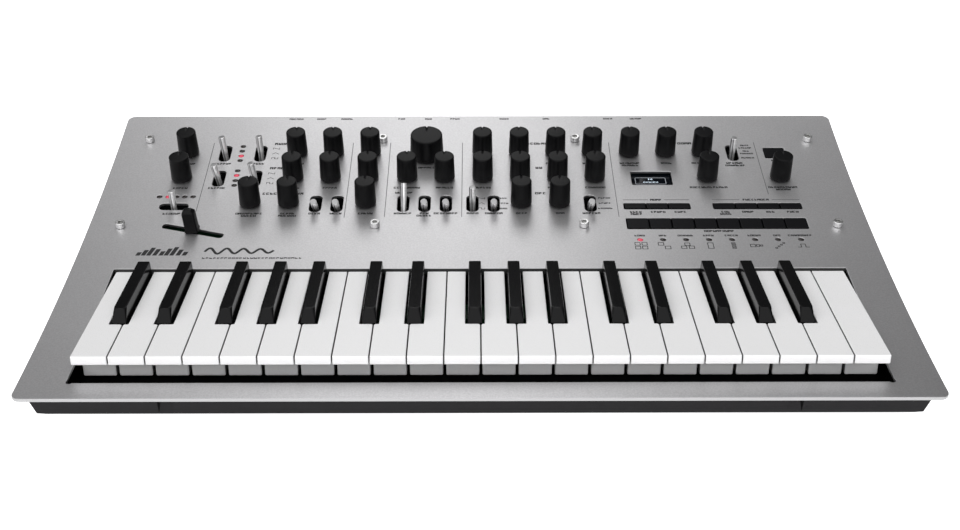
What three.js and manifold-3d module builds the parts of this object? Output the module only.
// A compact 37-key analogue synthesizer: a curved aluminium control panel over a dark
// moulded case, slim keys in front, knobs and toggles behind them, a wooden rear panel
// with the connectors. Millimetres, +Z up, front towards -Y, origin under the middle of
// the panel's outline, on the surface that the rubber feet stand on.

import * as THREE from "three";
import { mergeVertices } from "three/addons/utils/BufferGeometryUtils.js";
import Module from "manifold-3d";

const wasm = await Module();
wasm.setup();

// ---------------------------------------------------------------- driving dimensions

const GAP = 0.3; // between pieces that touch

// The panel is a sheet bent to one large radius, concave upwards. Places on it are
// measured up the slope from a datum line, which lies `apron` behind the front edge.
const PANEL = {
  width: 500,
  depth: 303,
  apron: 3,
  sheet: 2,
  datumHeight: 26.4,
  bendRadius: 1466,
  datumSlope: THREE.MathUtils.degToRad(3.96),
  cornerRadius: 7,
  bendSteps: 10,
};

const CASE = {
  topInset: 5.1,
  skirtInset: 9.1,
  skirtHeight: 14.5,
  bellyInset: 14,
  bellyHeight: 4,
  bellyStart: 32,
  wall: 2.5,
  rearInset: 7,
};

// Two shallow grooves run down the front of the case.
const FRONT_GROOVE = { x: 170.3, width: 8.4, depth: 2 };

const FOOT = { radius: 8, insetX: 45, frontY: -93.5, rearY: 116.5 };

// Key measures are from the top of the white keys down and from their front edge back.
const KEYS = {
  whiteCount: 22,
  pitch: 20.25,
  whiteGap: 0.6,
  offsetX: 0.3,
  topHeight: 39.3,
  frontSetback: 19.3,
  headLength: 37.7,
  visibleLength: 107,
  lip: 5.3,
  stemSetback: 17.1,
  stemLength: 21,
  stemDrop: 22,
  stemWidth: 18.7,
  slotWidth: 11.1,
  pivotDistance: 130.7,
  pivotDrop: 9.9,
  armTop: 2.9,
  armBottom: 12.4,
};

const BLACK = {
  rise: 7,
  frontSetback: 38.4,
  topSetback: 44.2,
  baseWidth: 8.3,
  topWidth: 7.2,
  drop: 10.9,
  armWidth: 6,
};

// How far each black key sits right of the gap between its two white neighbours.
const BLACK_SHIFT = { cSharp: -2.5, dSharp: 2.7, fSharp: -3.3, gSharp: 0, aSharp: 3.3 };
const OCTAVE = [
  { name: "c", sharp: "cSharp" },
  { name: "d", sharp: "dSharp" },
  { name: "e", sharp: null },
  { name: "f", sharp: "fSharp" },
  { name: "g", sharp: "gSharp" },
  { name: "a", sharp: "aSharp" },
  { name: "b", sharp: null },
];

const OPENING = { front: 12, back: 127.4, width: 448.1 };

// A milling cutter leaves a small round bay in each front corner of the opening.
const CORNER_BAY = { radius: 2, acrossInset: 1.6, backInset: 1.2 };

// Controls stand in even columns and three rows up the slope of the panel.
const COLUMN = 25.1;
const ROW_1 = 259.6;
const ROW_2 = 229.9;
const ROW_3 = 200.2;
const SECTION = {
  master: -199.8,
  octave: -174.9,
  wave: -150.5,
  oscillator: -150.1,
  mixer: -74.5,
  filter: -48.4,
  envelope: 2.3,
  delay: 103.2,
  routing: 174.7,
  voice: 202.6,
};

const KNOB = { baseRadius: 7, topRadius: 6.5, height: 17.2, lift: 0.8, sides: 10 };
const CUTOFF = { baseRadius: 11.5, topRadius: 10.8, height: 16.4, lift: 0.8, sides: 16 };
const SHAFT = { radius: 3, holeRadius: 3.9, top: 1.5, bottom: -5.2 };
const POT = { width: 9.5, length: 11, top: -5.5 };

const TOGGLE = {
  slotWidth: 7.8,
  slotLength: 18.9,
  slotRadius: 3.4,
  tilt: THREE.MathUtils.degToRad(38),
  pivotDepth: 5,
  length: 17.5,
  tipRadius: 2.2,
  neckRadius: 1.9,
  bodyTop: -9.8,
};

const SLIDER = {
  x: -182.8,
  s: 169.5,
  turn: THREE.MathUtils.degToRad(-16.6),
  slotLength: 42,
  slotWidth: 5.4,
  capBase: 8.9,
  capTop: 7.9,
  capHeight: 16.5,
};

const BUTTON = { pitch: 14.55, capGap: 0.8, clearance: 0.5, proud: 0.5, carrierTop: -2.7, carrier: 1.8 };
const BUTTON_ROWS = [
  { name: "edit_buttons", count: 3, x: 116.25, s: 196.7, depth: 7.1 },
  { name: "sequencer_buttons", count: 4, x: 181.95, s: 196.7, depth: 7.1 },
  { name: "voice_mode_buttons", count: 8, x: 152.7, s: 176.8, depth: 12.3 },
  { name: "hold_button", count: 1, x: 204, s: 259.4, depth: 12.4 },
];

const WINDOW = { x: 116, s: 229.5, width: 27.3, height: 15.9, glassDepth: 2.8 };

const SCREW = { headRadius: 2.7, headHeight: 3.4, shankRadius: 1.5, holeRadius: 2.1, bossRadius: 4 };
const SCREW_X = [-229.5, -67, 67, 229.5];
const SCREW_S = [174.3, 275];

const BOARD = { width: 430, front: 155, back: 281, depth: 12, thickness: 1.6, tangentAt: 225 };

const REAR = { y: 136, thickness: 6, jackHeight: 40 };
const JACK_BOARD = { left: -150, right: 128, front: 101.5, height: 30, thickness: 1.6 };
const BIG_JACKS = [-130, -112, -94];
const SMALL_JACKS = [-55, -36];
const DIN_SOCKETS = [-17, 18];
const USB_X = 48;
const POWER_X = 92;
const DC_X = 112;

// ---------------------------------------------------------------- materials

function material(color, roughness, metalness) {
  return new THREE.MeshStandardMaterial({ color, roughness, metalness });
}

const ALUMINIUM = () => material(0xb9bbbe, 0.42, 0.9);
const CASE_PLASTIC = () => material(0x343436, 0.6, 0);
const KNOB_PLASTIC = () => material(0x232325, 0.55, 0);
const BUTTON_PLASTIC = () => material(0x1b1b1f, 0.5, 0);
const CHROME = () => material(0xd8dadd, 0.12, 1);
const WHITE_PLASTIC = () => material(0xf2f2f0, 0.25, 0);
const BLACK_PLASTIC = () => material(0x0f0f10, 0.2, 0);
const WOOD = () => material(0x7b3f22, 0.5, 0);
const GLASS = () => material(0x0a0b10, 0.08, 0);
const CIRCUIT = () => material(0x1f4a33, 0.6, 0);
const STEEL = () => material(0x8f9295, 0.4, 0.9);

// ---------------------------------------------------------------- solids and booleans

// A closed three.js geometry as a solid: vertices merged, and faces that have shrunk to
// a line at an axis or a tip left out.
function solid(geometry) {
  const bare = new THREE.BufferGeometry();
  bare.setAttribute("position", geometry.getAttribute("position"));
  if (geometry.index) bare.setIndex(geometry.index);
  const merged = mergeVertices(bare, 1e-4);
  const index = merged.index.array;
  const kept = [];
  for (let i = 0; i < index.length; i += 3) {
    const [a, b, c] = [index[i], index[i + 1], index[i + 2]];
    if (a !== b && b !== c && c !== a) kept.push(a, b, c);
  }
  return new wasm.Manifold(
    new wasm.Mesh({
      numProp: 3,
      vertProperties: new Float32Array(merged.getAttribute("position").array),
      triVerts: new Uint32Array(kept),
    }),
  );
}

function geometryOf(manifold) {
  const mesh = manifold.getMesh();
  const geometry = new THREE.BufferGeometry();
  geometry.setAttribute("position", new THREE.BufferAttribute(mesh.vertProperties, 3));
  geometry.setIndex(new THREE.BufferAttribute(mesh.triVerts, 1));
  geometry.computeVertexNormals();
  return geometry;
}

function join(...pieces) {
  return pieces.map(solid).reduce((whole, piece) => whole.add(piece));
}

function cut(whole, ...tools) {
  return tools.map(solid).reduce((rest, tool) => rest.subtract(tool), whole);
}

// ---------------------------------------------------------------- simple shapes

function box(x0, x1, y0, y1, z0, z1) {
  const geometry = new THREE.BoxGeometry(x1 - x0, y1 - y0, z1 - z0);
  return geometry.translate((x0 + x1) / 2, (y0 + y1) / 2, (z0 + z1) / 2);
}

function extrude(shape, length) {
  return new THREE.ExtrudeGeometry(shape, { depth: length, bevelEnabled: false, curveSegments: 2 });
}

// An outline of [x, y] points raised from z0 to z1.
function plate(points, z0, z1) {
  const shape = new THREE.Shape(points.map(([x, y]) => new THREE.Vector2(x, y)));
  return extrude(shape, z1 - z0).translate(0, 0, z0);
}

// An outline of [y, z] points carried along X from x0 to x1.
function beam(points, x0, x1) {
  const shape = new THREE.Shape(points.map(([y, z]) => new THREE.Vector2(y, z)));
  const turned = new THREE.Matrix4().makeBasis(
    new THREE.Vector3(0, 1, 0),
    new THREE.Vector3(0, 0, 1),
    new THREE.Vector3(1, 0, 0),
  );
  return extrude(shape, x1 - x0).applyMatrix4(turned).translate(x0, 0, 0);
}

// A profile of [radius, z] points, from the axis at the bottom to the axis at the top.
function turned(profile, sides) {
  const points = profile.map(([radius, z]) => new THREE.Vector2(radius, z));
  return new THREE.LatheGeometry(points, sides).rotateX(Math.PI / 2);
}

function rod(radius, z0, z1, sides = 8) {
  return turned([[0, z0], [radius, z0], [radius, z1], [0, z1]], sides);
}

function rodAlongY(radius, y0, y1, sides = 8) {
  return rod(radius, -y1, -y0, sides).rotateX(Math.PI / 2);
}

function roundedOutline(width, height, radius) {
  const [w, h, r] = [width / 2, height / 2, radius];
  const shape = new THREE.Shape();
  shape.moveTo(-w + r, -h);
  shape.lineTo(w - r, -h).absarc(w - r, -h + r, r, -Math.PI / 2, 0);
  shape.lineTo(w, h - r).absarc(w - r, h - r, r, 0, Math.PI / 2);
  shape.lineTo(-w + r, h).absarc(-w + r, h - r, r, Math.PI / 2, Math.PI);
  shape.lineTo(-w, -h + r).absarc(-w + r, -h + r, r, Math.PI, Math.PI * 1.5);
  return shape;
}

function roundedPlate(width, height, radius, z0, z1) {
  return extrude(roundedOutline(width, height, radius), z1 - z0).translate(0, 0, z0);
}

// A block whose rectangle [x0, x1, y0, y1] changes from one height to the next.
function taperedBlock(levels) {
  const positions = [];
  for (const [z, x0, x1, y0, y1] of levels) {
    positions.push(x0, y0, z, x1, y0, z, x1, y1, z, x0, y1, z);
  }
  const index = [0, 2, 1, 0, 3, 2];
  for (let level = 0; level < levels.length - 1; level += 1) {
    const low = level * 4;
    for (let side = 0; side < 4; side += 1) {
      const next = (side + 1) % 4;
      index.push(low + side, low + next, low + 4 + next);
      index.push(low + side, low + 4 + next, low + 4 + side);
    }
  }
  const top = (levels.length - 1) * 4;
  index.push(top, top + 1, top + 2, top, top + 2, top + 3);
  const geometry = new THREE.BufferGeometry();
  geometry.setAttribute("position", new THREE.BufferAttribute(new Float32Array(positions), 3));
  geometry.setIndex(index);
  return geometry;
}

// Rings of the same number of [x, y, z] points, skinned in order and closed at both ends.
function loft(rings) {
  const count = rings[0].length;
  const index = [];
  for (let ring = 0; ring < rings.length - 1; ring += 1) {
    const low = ring * count;
    for (let i = 0; i < count; i += 1) {
      const next = (i + 1) % count;
      index.push(low + i, low + next, low + count + next);
      index.push(low + i, low + count + next, low + count + i);
    }
  }
  const last = (rings.length - 1) * count;
  for (let i = 1; i < count - 1; i += 1) {
    index.push(0, i + 1, i);
    index.push(last, last + i, last + i + 1);
  }
  const geometry = new THREE.BufferGeometry();
  geometry.setAttribute("position", new THREE.BufferAttribute(new Float32Array(rings.flat(2)), 3));
  geometry.setIndex(index);
  return geometry;
}

// ---------------------------------------------------------------- places on the panel

const DATUM_Y = -PANEL.depth / 2 + PANEL.apron;

// The slope, and the height and depth of the panel's top face, at a distance s measured
// along the face from the datum line.
function slopeAt(s) {
  return PANEL.datumSlope + s / PANEL.bendRadius;
}

function panelPoint(s) {
  const slope = slopeAt(s);
  const y = PANEL.bendRadius * (Math.sin(slope) - Math.sin(PANEL.datumSlope));
  const z = PANEL.bendRadius * (Math.cos(PANEL.datumSlope) - Math.cos(slope));
  return { y: y + DATUM_Y, z: z + PANEL.datumHeight };
}

// The distance s of the point whose depth is y.
function panelDistance(y) {
  const sine = Math.sin(PANEL.datumSlope) + (y - DATUM_Y) / PANEL.bendRadius;
  return PANEL.bendRadius * (Math.asin(sine) - PANEL.datumSlope);
}

const PANEL_START = panelDistance(-PANEL.depth / 2);
const PANEL_END = panelDistance(PANEL.depth / 2);

function panelUnderside(y) {
  const s = panelDistance(y);
  return panelPoint(s).z - PANEL.sheet / Math.cos(slopeAt(s));
}

// The frame of a control: X across, Y up the slope, Z square to the panel.
function controlFrame(x, s) {
  const { y, z } = panelPoint(s);
  return new THREE.Matrix4().makeRotationX(slopeAt(s)).setPosition(x, y, z);
}

function onPanel(geometry, x, s) {
  return geometry.applyMatrix4(controlFrame(x, s));
}

const group = new THREE.Group();

function addPart(name, shape, look) {
  const geometry = shape instanceof THREE.BufferGeometry ? shape : geometryOf(shape);
  const mesh = new THREE.Mesh(geometry, look);
  mesh.name = name;
  group.add(mesh);
  return mesh;
}

function addControl(name, shape, look, x, s) {
  const mesh = addPart(name, shape, look);
  mesh.applyMatrix4(controlFrame(x, s));
  return mesh;
}

// ---------------------------------------------------------------- what stands where

const MOVING_KNOBS = [
  { name: "master_volume_knob", x: SECTION.master, s: ROW_1 },
  { name: "tempo_knob", x: SECTION.master, s: ROW_2 },
  { name: "cutoff_knob", x: SECTION.filter + COLUMN / 2, s: ROW_1 - 2.5, size: CUTOFF },
  { name: "resonance_knob", x: SECTION.filter, s: ROW_2 },
  { name: "program_value_knob", x: SECTION.delay + 2 * COLUMN, s: ROW_2 },
  { name: "voice_mode_depth_knob", x: SECTION.voice, s: ROW_2 },
];

const column = (section, n) => SECTION[section] + n * COLUMN;

const FIXED_KNOBS = [
  ...[1, 2].flatMap((n) => [ROW_1, ROW_2].map((s) => ({ x: column("oscillator", n), s }))),
  ...[0, 1].map((n) => ({ x: column("oscillator", n), s: ROW_3 })),
  ...[ROW_1, ROW_2, ROW_3].map((s) => ({ x: SECTION.mixer, s })),
  { x: column("filter", 1), s: ROW_2 },
  ...[0, 1, 2, 3].flatMap((n) => [ROW_1, ROW_2].map((s) => ({ x: column("envelope", n), s }))),
  ...[1, 2].map((n) => ({ x: column("envelope", n), s: ROW_3 })),
  ...[0, 1, 2].map((n) => ({ x: column("delay", n), s: ROW_1 })),
];

// A tilt of 1 is fully back, -1 fully towards the player and 0 upright.
const TOGGLES = [
  { x: SECTION.octave, s: ROW_1, tilt: 0.2 },
  { x: SECTION.octave, s: ROW_2, tilt: -0.15 },
  { x: SECTION.wave, s: ROW_1, tilt: 0.3 },
  { x: SECTION.wave, s: ROW_2, tilt: 0 },
  { x: -107.3, s: ROW_3, tilt: -1 },
  { x: -93.3, s: ROW_3, tilt: -1 },
  { name: "filter_slope_switch", x: -49.9, s: ROW_3, tilt: 1 },
  { x: -35.9, s: ROW_3, tilt: -1 },
  { x: -21.9, s: ROW_3, tilt: -1 },
  { x: -4.5, s: ROW_3, tilt: 0.05 },
  { x: 9.4, s: ROW_3, tilt: -1 },
  { x: 72.8, s: ROW_3, tilt: -1 },
  { name: "output_routing_switch", x: SECTION.routing, s: ROW_1, tilt: 0 },
];

const OCTAVE_SWITCH = { x: -199.7, s: 197.1 };

// ---------------------------------------------------------------- top panel

function panelSheet() {
  const top = [];
  const bottom = [];
  for (let step = 0; step <= PANEL.bendSteps; step += 1) {
    const s = THREE.MathUtils.lerp(PANEL_START, PANEL_END, step / PANEL.bendSteps);
    const { y, z } = panelPoint(s);
    const slope = slopeAt(s);
    top.push([y, z]);
    bottom.unshift([y + PANEL.sheet * Math.sin(slope), z - PANEL.sheet * Math.cos(slope)]);
  }
  // The sheet's rear and front edges are trimmed upright by the outline.
  const [rearY, rearZ] = bottom[0];
  bottom[0] = [PANEL.depth / 2 + 1, rearZ + (PANEL.depth / 2 + 1 - rearY) * Math.tan(slopeAt(PANEL_END))];
  const [lastY, lastZ] = bottom[bottom.length - 1];
  bottom.push([lastY - 1, lastZ - Math.tan(slopeAt(PANEL_START))]);
  top.unshift([top[0][0] - 1, top[0][1] - Math.tan(slopeAt(PANEL_START))]);
  top.push([PANEL.depth / 2 + 1, top[top.length - 1][1] + Math.tan(slopeAt(PANEL_END))]);
  return beam([...bottom, ...top], -PANEL.width / 2, PANEL.width / 2);
}

function topPanel() {
  const low = -PANEL.sheet - 1.5;
  const high = 1.5;
  const outline = roundedPlate(PANEL.width, PANEL.depth, PANEL.cornerRadius, 0, 120);
  const keyboard = box(
    KEYS.offsetX - OPENING.width / 2,
    KEYS.offsetX + OPENING.width / 2,
    DATUM_Y + OPENING.front,
    panelPoint(OPENING.back).y,
    0,
    120,
  );
  const holes = [keyboard];
  for (const side of [-1, 1]) {
    const x = KEYS.offsetX + side * (OPENING.width / 2 - CORNER_BAY.acrossInset);
    const y = DATUM_Y + OPENING.front + CORNER_BAY.backInset;
    holes.push(rod(CORNER_BAY.radius, 0, 120).translate(x, y, 0));
  }
  for (const { x, s } of [...MOVING_KNOBS, ...FIXED_KNOBS]) {
    holes.push(onPanel(rod(SHAFT.holeRadius, low, high, 6), x, s));
  }
  for (const { x, s } of TOGGLES) {
    holes.push(onPanel(roundedPlate(TOGGLE.slotWidth, TOGGLE.slotLength, TOGGLE.slotRadius, low, high), x, s));
  }
  const acrossSlot = roundedPlate(TOGGLE.slotLength, TOGGLE.slotWidth, TOGGLE.slotRadius, low, high);
  holes.push(onPanel(acrossSlot, OCTAVE_SWITCH.x, OCTAVE_SWITCH.s));
  const slot = roundedPlate(SLIDER.slotLength, SLIDER.slotWidth, 2, low, high).rotateZ(SLIDER.turn);
  holes.push(onPanel(slot, SLIDER.x, SLIDER.s));
  for (const { x, s, count, depth } of BUTTON_ROWS) {
    holes.push(onPanel(box(...span(count * BUTTON.pitch), ...span(depth), low, high), x, s));
  }
  const window = box(...span(WINDOW.width), ...span(WINDOW.height), low, high);
  holes.push(onPanel(window, WINDOW.x, WINDOW.s));
  for (const x of SCREW_X) {
    for (const s of SCREW_S) holes.push(onPanel(rod(SCREW.holeRadius, low, high, 6), x, s));
  }
  return cut(solid(panelSheet()).intersect(solid(outline)), ...holes);
}

// The two ends of a length centred on zero.
function span(length) {
  return [-length / 2, length / 2];
}

// ---------------------------------------------------------------- case

// One cross-section of the case at depth y: belly, upright lower side, leaning skirt.
function caseRing(y, inset, rimRise) {
  const rim = panelUnderside(y) - GAP;
  const skirt = rim - CASE.skirtHeight;
  const half = PANEL.width / 2 - inset;
  const sloped = (y - DATUM_Y - CASE.skirtInset) / (CASE.bellyStart - CASE.skirtInset);
  const drop = THREE.MathUtils.clamp(sloped, 0, 1);
  const frontEdge = panelUnderside(DATUM_Y) - GAP - CASE.skirtHeight;
  const belly = THREE.MathUtils.lerp(frontEdge - 0.4, CASE.bellyHeight, drop) + inset;
  const lower = Math.max(skirt, belly + 0.2);
  const flare = ((CASE.skirtInset - CASE.topInset) * rimRise) / CASE.skirtHeight;
  const points = [
    [half - CASE.topInset + flare, rim + rimRise],
    [half - CASE.skirtInset, lower],
    [half - CASE.bellyInset, belly],
  ];
  const right = points.map(([x, z]) => [x, y, z]);
  const left = points.map(([x, z]) => [-x, y, z]).reverse();
  return [...left, ...right];
}

function caseShell(inset, rimRise, rearExtra) {
  const front = DATUM_Y + CASE.topInset + inset;
  const stations = [
    DATUM_Y + CASE.bellyStart,
    -80,
    -40,
    0,
    40,
    80,
    115,
    PANEL.depth / 2 - CASE.rearInset + rearExtra,
  ];
  const lean = CASE.skirtInset - CASE.topInset;
  const first = caseRing(front, inset, rimRise).map(([x, , z]) => {
    const rim = panelUnderside(front) - GAP;
    const down = THREE.MathUtils.clamp((rim - z) / CASE.skirtHeight, -0.5, 1);
    return [x, front + lean * down, z];
  });
  return loft([first, ...stations.map((y) => caseRing(y, inset, rimRise))]);
}

// The groove is deepest at the rim and runs out at the skirt's lower edge.
function frontGroove(x) {
  const front = DATUM_Y + CASE.topInset;
  const rim = panelUnderside(front) - GAP;
  const foot = rim - CASE.skirtHeight;
  const lean = CASE.skirtInset - CASE.topInset;
  const outline = [
    [front - 4, foot], [front + lean - 0.1, foot], [front + FRONT_GROOVE.depth, rim],
    [front + FRONT_GROOVE.depth, rim + 2], [front - 4, rim + 2],
  ];
  return beam(outline, x - FRONT_GROOVE.width / 2, x + FRONT_GROOVE.width / 2);
}

function bossHeight(s) {
  return panelUnderside(panelPoint(s).y - SCREW.bossRadius) - GAP;
}

function bottomCase() {
  const outer = solid(caseShell(0, 0, 0));
  const inner = caseShell(CASE.wall, 8, 20);
  let shell = cut(outer, inner, frontGroove(-FRONT_GROOVE.x), frontGroove(FRONT_GROOVE.x));
  for (const x of SCREW_X) {
    for (const s of SCREW_S) {
      const { y } = panelPoint(s);
      const boss = rod(SCREW.bossRadius, CASE.bellyHeight + 1, bossHeight(s), 6);
      shell = shell.add(solid(boss.translate(x, y, 0)));
      const shank = rod(SCREW.shankRadius, -PANEL.sheet - 4, 1, 6);
      const head = rod(SCREW.headRadius, GAP, GAP + SCREW.headHeight, 6);
      shell = shell.add(solid(onPanel(shank, x, s))).add(solid(onPanel(head, x, s)));
    }
  }
  for (const side of [-1, 1]) {
    for (const y of [FOOT.frontY, FOOT.rearY]) {
      const x = side * (PANEL.width / 2 - FOOT.insetX);
      shell = shell.add(solid(rod(FOOT.radius, 0, CASE.bellyHeight + 1, 12).translate(x, y, 0)));
    }
  }
  return shell;
}

// ---------------------------------------------------------------- rear panel and connectors

function rearPanel() {
  const top = panelUnderside(REAR.y) - GAP;
  const skirt = top - CASE.skirtHeight;
  const floor = CASE.bellyHeight + CASE.wall + GAP;
  const widthAt = (inset) => PANEL.width / 2 - inset - CASE.wall - 4 * GAP;
  const [wide, middle, narrow] = [CASE.topInset, CASE.skirtInset, CASE.bellyInset].map(widthAt);
  const outline = [
    [-narrow, floor], [narrow, floor], [middle, skirt], [wide, top],
    [-wide, top], [-middle, skirt],
  ];
  const board = plate(outline, 0, REAR.thickness).rotateX(Math.PI / 2).translate(0, REAR.y + REAR.thickness, 0);
  const [y0, y1] = [REAR.y - 1, REAR.y + REAR.thickness + 1];
  const hole = (radius, x, sides) => rodAlongY(radius, y0, y1, sides).translate(x, 0, REAR.jackHeight);
  const [z0, z1] = [REAR.jackHeight - 6.5, REAR.jackHeight + 6.5];
  return cut(
    solid(board),
    ...BIG_JACKS.map((x) => hole(6.2, x, 10)),
    ...SMALL_JACKS.map((x) => hole(4.6, x, 8)),
    ...DIN_SOCKETS.map((x) => hole(8.4, x, 12)),
    hole(5.4, DC_X, 8),
    box(USB_X - 7, USB_X + 7, y0, y1, z0, z1),
    box(POWER_X - 5.5, POWER_X + 5.5, y0, y1, z0 + 2, z1 - 2),
  );
}

function jackBoard() {
  const { left, right, front, height, thickness } = JACK_BOARD;
  const back = REAR.y - GAP;
  const face = REAR.y + REAR.thickness + 1.5;
  const z = REAR.jackHeight;
  const housing = (x, half, deep, tall) => box(x - half, x + half, back - deep, back, height + 1, z + tall);
  const nose = (x, radius, sides) => rodAlongY(radius, back - 2, face, sides).translate(x, 0, z);
  const bore = (x, radius, deep, sides) => rodAlongY(radius, face - deep, face + 1, sides).translate(x, 0, z);
  const solids = join(
    box(left, right, front, back, height, height + thickness),
    ...BIG_JACKS.flatMap((x) => [housing(x, 7.5, 29, 7.5), nose(x, 5.6, 10)]),
    ...SMALL_JACKS.flatMap((x) => [housing(x, 5, 14, 5), nose(x, 3.9, 8)]),
    ...DIN_SOCKETS.flatMap((x) => [housing(x, 9.5, 15, 9.5), nose(x, 7.9, 12)]),
    housing(USB_X, 6.2, 16, 6),
    box(USB_X - 6.2, USB_X + 6.2, back - 2, face, z - 5.6, z + 5.6),
    housing(POWER_X, 6, 12, 6),
    housing(DC_X, 5, 12, 5.5),
    nose(DC_X, 4.7, 8),
  );
  const powerWell = box(POWER_X - 4.3, POWER_X + 4.3, back - 7, back + 1, z - 3.3, z + 3.3);
  return cut(solids, ...BIG_JACKS.map((x) => bore(x, 3.3, 28, 8)), powerWell, ...bossClearances(right));
}

function powerButton() {
  const z = REAR.jackHeight;
  const back = REAR.y - GAP - 4.5;
  const face = REAR.y + REAR.thickness + 3;
  return box(POWER_X - 3.9, POWER_X + 3.9, back, face, z - 2.9, z + 2.9);
}

// ---------------------------------------------------------------- control board

function knobProfile(size) {
  const { baseRadius, topRadius, height, lift } = size;
  return [
    [0, lift], [baseRadius, lift], [baseRadius, lift + 2],
    [topRadius, lift + height - 0.8], [topRadius - 0.8, lift + height], [0, lift + height],
  ];
}

function knob(size, shaftBottom) {
  const cap = turned(knobProfile(size), size.sides);
  return [cap, rod(SHAFT.radius, shaftBottom, SHAFT.top, 6)];
}

function lever(tilt) {
  const { length, neckRadius, tipRadius, pivotDepth } = TOGGLE;
  const profile = [
    [0, -1.6], [neckRadius, -1.6], [neckRadius, 4], [tipRadius, length - 7],
    [tipRadius, length - 0.9], [tipRadius - 0.9, length], [0, length],
  ];
  return turned(profile, 6).rotateX(-tilt * TOGGLE.tilt).translate(0, 0, -pivotDepth);
}

// Round cut-outs for the screw bosses that a board reaching to x = half would meet.
function bossClearances(half) {
  const columns = SCREW_X.filter((x) => Math.abs(x) < half);
  return columns.flatMap((x) =>
    SCREW_S.map((s) => rod(SCREW.bossRadius + 1.5, 0, 120).translate(x, panelPoint(s).y, 0)),
  );
}

function controlBoard() {
  const top = -BOARD.depth;
  const under = top - BOARD.thickness / 2;
  const half = BOARD.width / 2;
  const [front, back] = [BOARD.front - BOARD.tangentAt, BOARD.back - BOARD.tangentAt];
  const flat = box(-half, half, front, back, top - BOARD.thickness, top);
  const plateBox = onPanel(flat, 0, BOARD.tangentAt);
  let board = cut(solid(plateBox), ...bossClearances(half));
  const potBody = () => box(...span(POT.width), ...span(POT.length), under - 1, POT.top);
  for (const { x, s } of MOVING_KNOBS) {
    board = board.add(solid(onPanel(potBody(), x, s)));
  }
  for (const { x, s } of FIXED_KNOBS) {
    board = board.add(solid(onPanel(potBody(), x, s)));
    for (const piece of knob(KNOB, POT.top - 1)) board = board.add(solid(onPanel(piece, x, s)));
  }
  for (const { name, x, s, tilt } of TOGGLES) {
    board = board.add(solid(onPanel(box(...span(8), ...span(12), under - 1, TOGGLE.bodyTop), x, s)));
    if (!name) {
      board = board.add(solid(onPanel(lever(tilt), x, s)));
      board = board.add(solid(onPanel(rod(2.2, TOGGLE.bodyTop - 1, -TOGGLE.pivotDepth, 6), x, s)));
    }
  }
  const octaveBody = box(...span(12), ...span(8), under - 1, TOGGLE.bodyTop);
  board = board.add(solid(onPanel(octaveBody, OCTAVE_SWITCH.x, OCTAVE_SWITCH.s)));
  const track = box(...span(48), ...span(8), under - 1.5, -9).rotateZ(SLIDER.turn);
  board = board.add(solid(onPanel(track, SLIDER.x, SLIDER.s)));
  for (const { x, s, count } of BUTTON_ROWS) {
    const tactSwitches = box(...span(count * BUTTON.pitch - 6), ...span(5), under - 1.5, -5.8);
    board = board.add(solid(onPanel(tactSwitches, x, s)));
  }
  return board;
}

function displayModule() {
  const glassTop = -WINDOW.glassDepth;
  const glass = box(...span(WINDOW.width + 3), ...span(WINDOW.height + 3), glassTop - 1.2, glassTop);
  const housing = box(...span(WINDOW.width + 1), ...span(WINDOW.height + 1), -BOARD.depth + GAP, glassTop - 1);
  return join(glass, housing);
}

function buttonStrip({ count, depth }) {
  const width = count * BUTTON.pitch;
  const carrier = box(
    ...span(width - 2 * BUTTON.clearance),
    ...span(depth - 2 * BUTTON.clearance),
    BUTTON.carrierTop - BUTTON.carrier,
    BUTTON.carrierTop,
  );
  const caps = [];
  const capWidth = BUTTON.pitch - BUTTON.capGap;
  for (let n = 0; n < count; n += 1) {
    const x = (n - (count - 1) / 2) * BUTTON.pitch;
    const half = Math.min(capWidth / 2, width / 2 - Math.abs(x) - BUTTON.clearance);
    const deep = depth / 2 - BUTTON.clearance;
    caps.push(box(x - half, x + half, -deep, deep, BUTTON.carrierTop - 1, BUTTON.proud));
  }
  return join(carrier, ...caps);
}

function pitchSlider() {
  const { capBase, capTop, capHeight } = SLIDER;
  const level = (z, across, along) => [z, ...span(across), ...span(along)];
  const cap = taperedBlock([
    level(0.8, capBase, capBase - 0.6),
    level(3, capTop + 0.3, capTop - 0.4),
    level(capHeight - 2.5, capTop, capTop - 1),
    level(capHeight, capTop - 3.4, capTop - 4.4),
  ]);
  const stem = box(...span(4), ...span(2.4), -5, 2);
  const carriage = box(...span(13), ...span(7), -8.6, -4);
  return join(cap, stem.rotateZ(SLIDER.turn), carriage.rotateZ(SLIDER.turn));
}

// ---------------------------------------------------------------- keys

function keyFront() {
  return DATUM_Y + KEYS.frontSetback;
}

// The rear arm rocks on the keybed's rail: its underside has a round-topped notch.
function keyArm(halfWidth, frontY) {
  const pivotY = KEYS.pivotDistance;
  const pivotZ = -KEYS.pivotDrop;
  const notch = 2;
  const arch = [];
  for (let step = 0; step <= 4; step += 1) {
    const angle = Math.PI * (step / 4);
    arch.push([pivotY - notch * Math.cos(angle), pivotZ + notch * Math.sin(angle)]);
  }
  const outline = [
    [frontY, -KEYS.armBottom], [pivotY - notch, -KEYS.armBottom], ...arch,
    [pivotY + notch, -KEYS.armBottom], [pivotY + notch + 2.5, -KEYS.armBottom],
    [pivotY + notch + 2.5, -KEYS.armTop], [frontY, -KEYS.armTop],
  ];
  return beam(outline, -halfWidth, halfWidth);
}

// The sides of the narrow rear part, from the gaps that the neighbouring black keys need.
function tailEdges(leftSharp, rightSharp) {
  const half = KEYS.pitch / 2;
  const slot = KEYS.slotWidth / 2;
  const plain = half - KEYS.whiteGap / 2;
  const left = leftSharp ? -half + BLACK_SHIFT[leftSharp] + slot : -plain;
  const right = rightSharp ? half + BLACK_SHIFT[rightSharp] - slot : plain;
  return { left: Math.max(left, -plain), right: Math.min(right, plain) };
}

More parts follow.
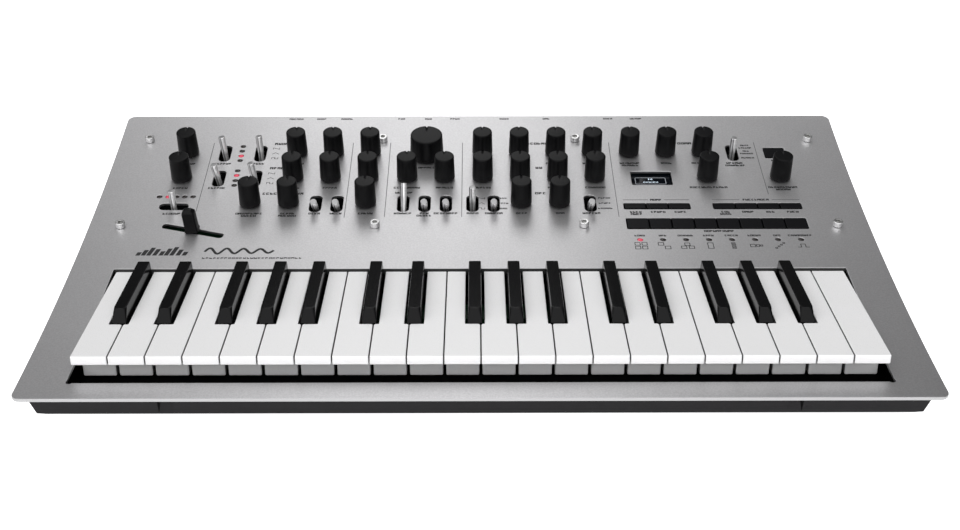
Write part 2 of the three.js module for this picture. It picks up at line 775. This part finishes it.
function whiteKey(leftSharp, rightSharp) {
  const half = (KEYS.pitch - KEYS.whiteGap) / 2;
  const { left, right } = tailEdges(leftSharp, rightSharp);
  const top = plate(
    [
      [-half, 0], [half, 0], [half, KEYS.headLength], [right, KEYS.headLength],
      [right, KEYS.visibleLength], [left, KEYS.visibleLength], [left, KEYS.headLength],
      [-half, KEYS.headLength],
    ],
    -KEYS.lip,
    0,
  );
  const stemHalf = KEYS.stemWidth / 2;
  const stemEnd = KEYS.stemSetback + KEYS.stemLength;
  const stem = box(-stemHalf, stemHalf, KEYS.stemSetback, Math.min(stemEnd, KEYS.headLength), -KEYS.stemDrop, -1);
  const armHalf = (right - left) / 2 - 0.6;
  const arm = keyArm(armHalf, KEYS.headLength - 2).translate((left + right) / 2, 0, 0);
  return join(top, stem, arm);
}

function blackKey() {
  const base = BLACK.baseWidth / 2;
  const top = BLACK.topWidth / 2;
  const end = KEYS.visibleLength - 0.3;
  const body = taperedBlock([
    [-BLACK.drop, -base, base, BLACK.frontSetback, end],
    [0, -base, base, BLACK.frontSetback, end],
    [BLACK.rise - 1, -top - 0.15, top + 0.15, BLACK.topSetback - 0.7, end],
    [BLACK.rise, -top + 0.6, top - 0.6, BLACK.topSetback + 0.6, end],
  ]);
  return join(body, keyArm(BLACK.armWidth / 2, BLACK.frontSetback + 4));
}

function addKeys() {
  const firstX = KEYS.offsetX - ((KEYS.whiteCount - 1) / 2) * KEYS.pitch;
  for (let n = 0; n < KEYS.whiteCount; n += 1) {
    const octave = Math.floor(n / OCTAVE.length) + 1;
    const note = OCTAVE[n % OCTAVE.length];
    const before = OCTAVE[(n + OCTAVE.length - 1) % OCTAVE.length];
    const leftSharp = n > 0 ? before.sharp : null;
    const rightSharp = n < KEYS.whiteCount - 1 ? note.sharp : null;
    const x = firstX + n * KEYS.pitch;
    const white = addPart(`key_${note.name}${octave}`, whiteKey(leftSharp, rightSharp), WHITE_PLASTIC());
    white.position.set(x, keyFront(), KEYS.topHeight);
    if (rightSharp) {
      const black = addPart(`key_${note.name}${octave}_sharp`, blackKey(), BLACK_PLASTIC());
      const blackX = x + KEYS.pitch / 2 + BLACK_SHIFT[rightSharp];
      black.position.set(blackX, keyFront(), KEYS.topHeight);
    }
  }
}

// ---------------------------------------------------------------- keybed

const KEYBED_FLOOR = CASE.bellyHeight + CASE.wall + GAP;
const CONTACT_BOARD = { front: -70, back: -30, height: 18.6 };

function keybedFrame() {
  const half = 222.5;
  const [x0, x1] = [KEYS.offsetX - half, KEYS.offsetX + half];
  const pivotY = keyFront() + KEYS.pivotDistance;
  const pivotZ = KEYS.topHeight - KEYS.pivotDrop;
  const plateTop = KEYBED_FLOOR + 2;
  const rail = [[pivotY - 1.4, plateTop - 1], [pivotY + 1.4, plateTop - 1]];
  for (let step = 0; step <= 4; step += 1) {
    const angle = Math.PI * (step / 4);
    rail.push([pivotY + 1.4 * Math.cos(angle), pivotZ + 1.4 * Math.sin(angle)]);
  }
  const rib = (y) => box(x0, x1, y - 1.5, y + 1.5, plateTop - 1, CONTACT_BOARD.height - GAP);
  return join(
    box(x0, x1, keyFront() + KEYS.stemSetback - 2, pivotY + 9, KEYBED_FLOOR, plateTop),
    box(x0, x1, keyFront() + KEYS.stemSetback, keyFront() + KEYS.stemSetback + 18, plateTop - 1, 10.8),
    rib(CONTACT_BOARD.front + 3),
    rib(CONTACT_BOARD.back - 3),
    beam(rail, x0, x1),
  );
}

function keyContactBoard() {
  const half = 219;
  const [x0, x1] = [KEYS.offsetX - half, KEYS.offsetX + half];
  const { front, back, height } = CONTACT_BOARD;
  const middle = (front + back) / 2;
  return join(
    box(x0, x1, front, back, height, height + 1.6),
    box(x0 + 3, x1 - 3, middle - 5, middle + 5, height + 1, height + 4.6),
  );
}

// ---------------------------------------------------------------- assembly

addPart("top_panel", topPanel(), ALUMINIUM());
addPart("bottom_case", bottomCase(), CASE_PLASTIC());
addPart("rear_panel", rearPanel(), WOOD());
addPart("jack_board", jackBoard(), STEEL());
addPart("power_button", powerButton(), BUTTON_PLASTIC());
addPart("control_board", controlBoard(), KNOB_PLASTIC());
addPart("keybed_frame", keybedFrame(), STEEL());
addPart("key_contact_board", keyContactBoard(), CIRCUIT());
addControl("display_module", displayModule(), GLASS(), WINDOW.x, WINDOW.s);

for (const { name, x, s, size = KNOB } of MOVING_KNOBS) {
  addControl(name, join(...knob(size, SHAFT.bottom)), KNOB_PLASTIC(), x, s);
}
for (const { name, x, s, tilt } of TOGGLES.filter((toggle) => toggle.name)) {
  addControl(name, lever(tilt), CHROME(), x, s);
}
addControl("octave_switch", lever(0).rotateZ(Math.PI / 2), CHROME(), OCTAVE_SWITCH.x, OCTAVE_SWITCH.s);
addControl("pitch_slider", pitchSlider(), KNOB_PLASTIC(), SLIDER.x, SLIDER.s);
for (const row of BUTTON_ROWS) {
  addControl(row.name, buttonStrip(row), BUTTON_PLASTIC(), row.x, row.s);
}
addKeys();

export default group;
